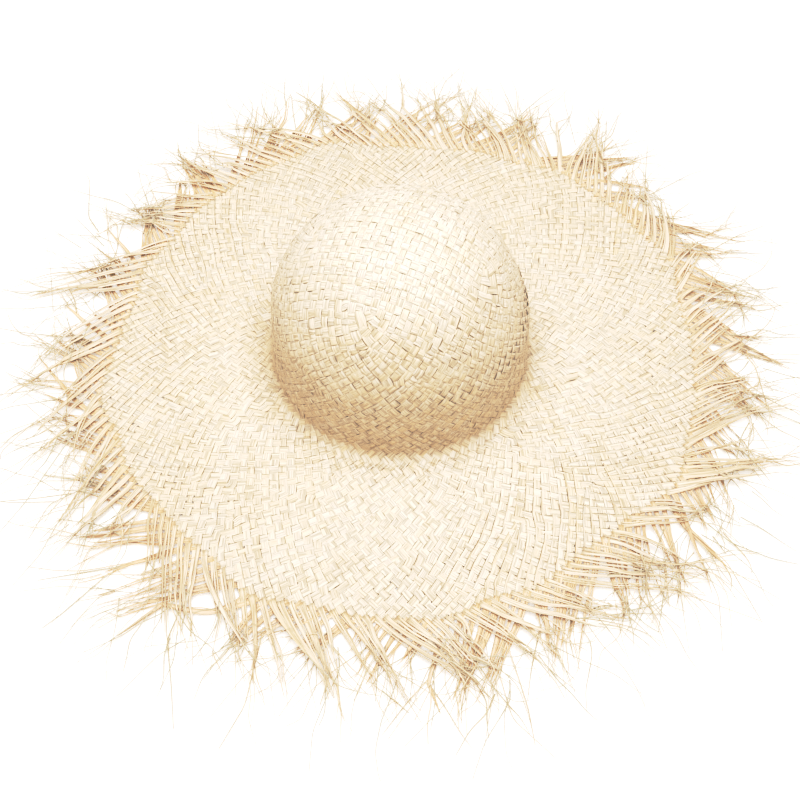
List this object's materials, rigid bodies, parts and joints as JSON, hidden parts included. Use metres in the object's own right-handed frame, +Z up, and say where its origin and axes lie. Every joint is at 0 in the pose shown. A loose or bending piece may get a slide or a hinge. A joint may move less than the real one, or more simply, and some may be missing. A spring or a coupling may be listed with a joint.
{
  "type": "straw sun hat",
  "caption": "Wide-brimmed sun hat woven from raffia, with a round dome crown, a ribbon sweatband and a frayed fringe of loose strand ends.",
  "frame": {"origin": "on the crown's axis, at the underside of the brim, where the hat rests", "axes": "+Z up through the crown's top, -Y the front of the hat, +X to the right as seen from the front"},
  "size_m": [0.6, 0.6, 0.135],
  "materials": {
    "woven_raffia": "matte natural straw weave",
    "loose_raffia": "matte natural straw, frayed",
    "ribbon": "ribbed cotton ribbon",
    "sewing_thread": "twisted thread"
  },
  "bodies": {
    "hat": {"brim_band": "woven_raffia", "crown_shoulder": "woven_raffia", "crown_side": "woven_raffia", "crown_start": "woven_raffia", "crown_tip": "woven_raffia", "fringe_left_1": "loose_raffia", "fringe_left_2": "loose_raffia", "fringe_left_3": "loose_raffia", "fringe_left_4": "loose_raffia", "fringe_left_5": "loose_raffia", "fringe_right_1": "loose_raffia", "fringe_right_2": "loose_raffia", "fringe_right_3": "loose_raffia", "fringe_right_4": "loose_raffia", "fringe_right_5": "loose_raffia", "stray_fibres_left": "loose_raffia", "stray_fibres_right": "loose_raffia", "sweatband": "ribbon", "sweatband_lap": "ribbon", "sweatband_stitches": "sewing_thread"},
    "front_brim": {"brim_front": "woven_raffia", "fringe_front_1": "loose_raffia", "fringe_front_2": "loose_raffia", "fringe_front_3": "loose_raffia", "fringe_front_4": "loose_raffia", "fringe_front_5": "loose_raffia", "fringe_front_6": "loose_raffia", "fringe_front_7": "loose_raffia", "fringe_front_8": "loose_raffia", "stray_fibres_front": "loose_raffia"},
    "back_brim": {"brim_back": "woven_raffia", "fringe_back_1": "loose_raffia", "fringe_back_2": "loose_raffia", "fringe_back_3": "loose_raffia", "fringe_back_4": "loose_raffia", "fringe_back_5": "loose_raffia", "fringe_back_6": "loose_raffia", "fringe_back_7": "loose_raffia", "fringe_back_8": "loose_raffia", "stray_fibres_back": "loose_raffia"}
  },
  "joints": [
    {"name": "front_brim_fold", "type": "hinge", "parent": "hat", "child": "front_brim", "pos_m": [0, -0.12, 0.0016], "axis": [-1, 0, 0], "range_deg": [-35, 85], "stiffness_Nm_per_rad": 0.05},
    {"name": "back_brim_fold", "type": "hinge", "parent": "hat", "child": "back_brim", "pos_m": [0, 0.12, 0.0016], "axis": [1, 0, 0], "range_deg": [-35, 85], "stiffness_Nm_per_rad": 0.05}
  ]
}
